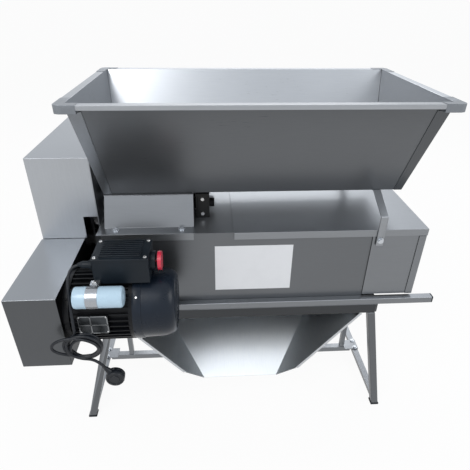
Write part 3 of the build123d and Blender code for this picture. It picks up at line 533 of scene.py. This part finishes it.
class DESTEMMER_OT_stage(bpy.types.Operator):
    """Makes the floor, the world and the lamps"""

    bl_idname = "destemmer.stage"
    bl_label = "Stage"

    def execute(self, context):
        scene = context.scene
        scene.view_settings.view_transform = "Standard"
        bm = bmesh.new()
        bmesh.ops.create_circle(bm, cap_ends=True, segments=96, radius=160)
        mesh = bpy.data.meshes.new("floor")
        bm.to_mesh(mesh)
        bm.free()
        floor = bpy.data.objects.new("floor", mesh)
        scene.collection.objects.link(floor)
        made, tree, shader = new_material("Pale Floor")
        shader.inputs["Base Color"].default_value = (0.80, 0.80, 0.80, 1)
        shader.inputs["Roughness"].default_value = 0.9
        white_ray_mix(tree, shader, tree.nodes["Material Output"], 0.94)
        mesh.materials.append(made)
        world = bpy.data.worlds.new("Studio")
        scene.world = world
        world.use_nodes = True
        sky = world.node_tree.nodes["Background"]
        sky.inputs["Color"].default_value = (0.93, 0.96, 1.0, 1)
        tree = world.node_tree
        path = tree.nodes.new("ShaderNodeLightPath")
        rays = maths(tree, "MAXIMUM", path.outputs["Is Camera Ray"], path.outputs["Is Glossy Ray"])
        rays = maths(tree, "MAXIMUM", rays, path.outputs["Is Transmission Ray"])
        strength = maths(tree, "ADD", maths(tree, "MULTIPLY", rays, 0.45), 0.55)
        wire(tree, strength, sky.inputs["Strength"])
        lamp(scene, "Key", (-1.6, -2.2, 3.2), (0, 0, 0.5), (1.8, 1.8), 60)
        lamp(scene, "Fill", (2.6, -1.2, 2.2), (0, 0, 0.5), (1.6, 1.6), 26)
        lamp(scene, "Rim", (0.3, 2.6, 2.8), (0, 0, 0.6), (2.4, 1.2), 36)
        return {"FINISHED"}


# ---------------------------------------------------------------- cord and plug
CORD_ROUTE = [(-386, -274, 645), (-401, -274.6, 644.6), (-414.5, -280, 637), (-420.5, -292.5, 619.5),
              (-419, -309, 594), (-415, -326, 563), (-411, -342, 532), (-408, -352, 505)]
COIL_RADII = ((38, 34), (33, 30), (54, 27), (40, 37), (43, 33))
COIL_SHIFT = ((-396, 470), (-391, 464), (-412, 476), (-390, 468), (-396, 474))
COIL_DEPTH = (-346, -354, -362, -348, -357)


def coil_points(turns):
    """Loose turns of different sizes, drifting in depth."""
    points = []
    steps = 14
    start = radians(128)
    for k in range(turns * steps):
        t = k / steps
        i = min(int(t), turns - 1)
        j = min(i + 1, turns - 1)
        f = t - i
        f = f * f * (3 - 2 * f)
        wide = COIL_RADII[i][0] * (1 - f) + COIL_RADII[j][0] * f
        tall = COIL_RADII[i][1] * (1 - f) + COIL_RADII[j][1] * f
        x = COIL_SHIFT[i][0] * (1 - f) + COIL_SHIFT[j][0] * f
        z = COIL_SHIFT[i][1] * (1 - f) + COIL_SHIFT[j][1] * f
        y = COIL_DEPTH[i] * (1 - f) + COIL_DEPTH[j] * f
        a = start + 2 * pi * t
        points.append((x + wide * cos(a), y + 2.0 * sin(2.3 * a), z + tall * sin(a)))
    return points


class DESTEMMER_OT_cord(bpy.types.Operator):
    """Makes the mains lead with its loose coil, and the moulded plug"""

    bl_idname = "destemmer.cord"
    bl_label = "Cord and plug"

    def execute(self, context):
        sizes = context.scene.destemmer_sizes
        rubber = moulded("Lead Rubber", (0.007, 0.009, 0.013), rubbed=(0.012, 0.015, 0.020),
                         rough=0.40, pebble=380, bump=0.15, shine=0.35)
        coil = coil_points(sizes.coil_turns)
        tail = [(-429, -357, 492), (-433, -358, 470), (-424, -358, 448), (-404, -357, 436), (-380, -356, 432),
                (-364, -356, 418), (-354, -355, 400), (-347, -354, 387)]
        points = CORD_ROUTE + coil + tail
        curve = bpy.data.curves.new("cord", "CURVE")
        curve.dimensions = "3D"
        line = curve.splines.new("NURBS")
        line.points.add(len(points) - 1)
        for spot, place in zip(line.points, points):
            spot.co = (place[0] * MM, place[1] * MM, place[2] * MM, 1)
        line.order_u = 3
        line.use_endpoint_u = True
        line.resolution_u = 5
        curve.bevel_depth = sizes.cord_diameter / 2
        curve.bevel_resolution = 4
        curve.use_fill_caps = True
        curve.materials.append(rubber)
        cord = bpy.data.objects.new("cord", curve)
        context.scene.collection.objects.link(cord)
        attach(cord, BODY)
        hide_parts("cord_tube", "cord_coil")

        bm = bmesh.new()
        add_lathe(bm, [(0, 11), (19.5, 11), (22, 9), (22.4, 4), (21.6, 3), (21.6, -1), (22.4, -2),
                       (22.2, -8), (20.5, -10.6), (17, -11), (16, -9.2), (3, -9), (0, -9)],
                  (-335, -354, 369), (0, 1, 0), 48)
        for k in range(10):
            a = 2 * pi * k / 10 + 0.2
            add_lathe(bm, [(0, 0), (4.2, 0), (4.6, 0.8), (4.6, 12), (4, 13), (0, 13)],
                      (-335 + 18.4 * cos(a), -361, 369 + 18.4 * sin(a)), (0, 1, 0), 12)
        add_lathe(bm, [(0, 0), (11, 0), (12, 1), (12, 3), (0, 3)], (-335, -364.6, 369), (0, 1, 0), 32)
        away = Vector((-347, -354, 387)) - Vector((-335, -354, 369))
        add_lathe(bm, [(0, 0), (8, 0), (7.2, 8), (6.4, 10), (6.4, 12), (5.6, 14), (5.4, 17), (4.4, 19),
                       (3.7, 26), (0, 26)], (-345, -354, 384), away, 24)
        plug = finish_piece("plug_moulding", bm, rubber, replaces=("plug",))
        return {"FINISHED"}


# ---------------------------------------------------------------- motor trim
class DESTEMMER_OT_motor_trim(bpy.types.Operator):
    """Adds the blank rating plate, tie bolts, screws, fan cover shell, capacitor can and gland cone"""

    bl_idname = "destemmer.motor_trim"
    bl_label = "Motor trim"

    def execute(self, context):
        head = context.scene.destemmer_sizes.screw_diameter / MM
        dark = (0.05, 0.055, 0.06)
        plate = steel("Rating Plate", dark, (60, 2, 2), 0.36, dark, dark)
        rim = steel("Plate Rim", (0.26, 0.27, 0.28), (60, 2, 2), 0.36)
        bolt = steel("Small Screw", (0.5, 0.5, 0.5), (30, 30, 30), 0.26)
        black = bpy.data.materials["Black Plastic"]
        bm = bmesh.new()
        add_box(bm, (-406, -328.5, 487), (-337, -326.5, 539), 0.6, 2)
        finish_piece("rating_plate", bm, plate)
        bm = bmesh.new()
        for z in (487, 511, 536):
            add_box(bm, (-405.5, -329, z), (-337.5, -328.2, z + 2.6))
        for x in (-405.5, -378, -340.1):
            add_box(bm, (x, -329, 487), (x + 2.6, -328.2, 538.6))
        finish_piece("rating_plate_rim", bm, rim)
        bm = bmesh.new()
        for x in (-402, -341):
            for z in (491, 535):
                add_screw(bm, (x, -328.5, z), (0, -1, 0), 4, 1.2)
        for x in (-359, -246):
            for y in (-275, -203):
                add_screw(bm, (x, y, 662), (0, 0, 1), head, 3)
        finish_piece("motor_screws", bm, bolt)
        bm = bmesh.new()
        for k in range(4):
            a = radians(45 + 90 * k)
            y, z = -236 + 84 * cos(a), 503 + 84 * sin(a)
            add_lathe(bm, [(0, 0), (5, 0), (5, 158), (0, 158)], (-441 + 0.3, y, z), (1, 0, 0), 16)
        finish_piece("motor_tie_bolts", bm, bpy.data.materials["Motor Enamel"])
        bm = bmesh.new()
        rings = []
        for r in (66, 57, 48, 39, 30, 21):
            rings += [(r, 98.6 + (66 - r) * 0.02), (r - 0.8, 96.2), (r - 4, 96.2),
                      (r - 4.8, 98.7 + (66 - r) * 0.02)]
        add_lathe(bm, [(86.5, 0), (88.6, 0), (89, 1), (89, 19), (88.2, 20.2), (86.8, 20.8), (85.6, 62),
                       (84.6, 74), (82.2, 83), (78, 91), (73, 96.4), (69, 98.4)] + rings
                  + [(0, 99.6), (0, 95), (68, 94), (76, 87), (80.5, 76), (83, 60), (84.5, 21), (86.5, 19),
                     (86.5, 0)], (-283, -236, 503), (1, 0, 0), 72)
        finish_piece("fan_cover_shell", bm, bpy.data.materials["Fan Cover Enamel"],
                     replaces=("fan_cover",))
        bm = bmesh.new()
        for k in range(4):
            a = radians(45 + 90 * k)
            out = (0, cos(a), sin(a))
            add_screw(bm, (-273, -236 + 88.8 * cos(a), 503 + 88.8 * sin(a)), out, 6, 2)
        finish_piece("fan_cover_screws", bm, bolt)
        bm = bmesh.new()
        add_lathe(bm, [(0, 0), (22, 0), (24.2, 1.2), (25.2, 3.5), (25.2, 40), (24.8, 42), (24.6, 104),
                       (23.6, 107), (21, 109), (8, 109.2), (6, 110.5), (0, 110.5)],
                  (-404.5, -319, 586), (1, 0, 0), 48)
        finish_piece("capacitor_can", bm, bpy.data.materials["Capacitor Can"],
                     replaces=("capacitor",))
        bm = bmesh.new()
        add_hex(bm, (-363, -294, 606), (0, 0, 1), 10, 5)
        finish_piece("clamp_bolt", bm, bolt)
        bm = bmesh.new()
        add_lathe(bm, [(3.4, -2), (8.6, -2), (8.5, 1), (7.6, 2.2), (7.4, 4), (6.4, 5), (6.2, 7), (5.2, 8),
                       (4.4, 12), (3.4, 12)], (-386, -274, 645), (-1, 0, 0), 24)
        finish_piece("gland_cone", bm, black)
        bm = bmesh.new()
        for k in range(8):
            a = pi * k / 4
            y, z = -274 + 10 * cos(a), 645 + 10 * sin(a)
            add_box(bm, (-372.8, y - 0.8, z - 0.8), (-366.5, y + 0.8, z + 0.8))
        finish_piece("gland_ribs", bm, black)
        return {"FINISHED"}


# ---------------------------------------------------------------- sheet metal trim
class DESTEMMER_OT_sheet_trim(bpy.types.Operator):
    """Adds the blank label and the bearing block bolts"""

    bl_idname = "destemmer.sheet_trim"
    bl_label = "Sheet trim"

    def execute(self, context):
        sizes = context.scene.destemmer_sizes
        w, h = sizes.label_width / MM / 2, sizes.label_height / MM / 2
        white = moulded("Blank Label", (0.74, 0.75, 0.77), rubbed=(0.70, 0.71, 0.73), rough=0.35, pebble=150,
                        bump=0.05, coat=0.2)
        bm = bmesh.new()
        add_box(bm, (21 - w, -119.6, 517 - h), (21 + w, -119.0, 517 + h), 0.2, 1)
        finish_piece("blank_label", bm, white)
        bolt = bpy.data.materials["Small Screw"]
        bm = bmesh.new()
        add_hex(bm, (-117, -31, 690), (0, -1, 0), 10, 5)
        add_hex(bm, (-117, -31, 646), (0, -1, 0), 10, 5)
        finish_piece("block_bolts", bm, bolt)
        return {"FINISHED"}


# ---------------------------------------------------------------- panel and registration
OPERATORS = (DESTEMMER_OT_camera, DESTEMMER_OT_finishes, DESTEMMER_OT_cord, DESTEMMER_OT_motor_trim,
             DESTEMMER_OT_sheet_trim, DESTEMMER_OT_stage)


class DESTEMMER_PT_panel(bpy.types.Panel):
    """Lists the steps that dress the machine"""

    bl_idname = "DESTEMMER_PT_panel"
    bl_label = "Grape crusher destemmer"
    bl_space_type = "VIEW_3D"
    bl_region_type = "UI"
    bl_category = "Destemmer"

    def draw(self, context):
        column = self.layout.column()
        for holder in (context.scene.destemmer_sizes, context.scene.destemmer_colours):
            for name in holder.bl_rna.properties.keys():
                if name not in {"rna_type", "name"}:
                    column.prop(holder, name)
        for step in OPERATORS:
            column.operator(step.bl_idname)


CLASSES = (DestemmerSizes, DestemmerColours) + OPERATORS + (DESTEMMER_PT_panel,)


def register():
    for cls in CLASSES:
        bpy.utils.register_class(cls)
    bpy.types.Scene.destemmer_sizes = PointerProperty(type=DestemmerSizes)
    bpy.types.Scene.destemmer_colours = PointerProperty(type=DestemmerColours)


def unregister():
    del bpy.types.Scene.destemmer_colours
    del bpy.types.Scene.destemmer_sizes
    for cls in reversed(CLASSES):
        bpy.utils.unregister_class(cls)


def main():
    register()
    for step in OPERATORS:
        group, name = step.bl_idname.split(".")
        getattr(getattr(bpy.ops, group), name)()


if __name__ == "__main__":
    main()
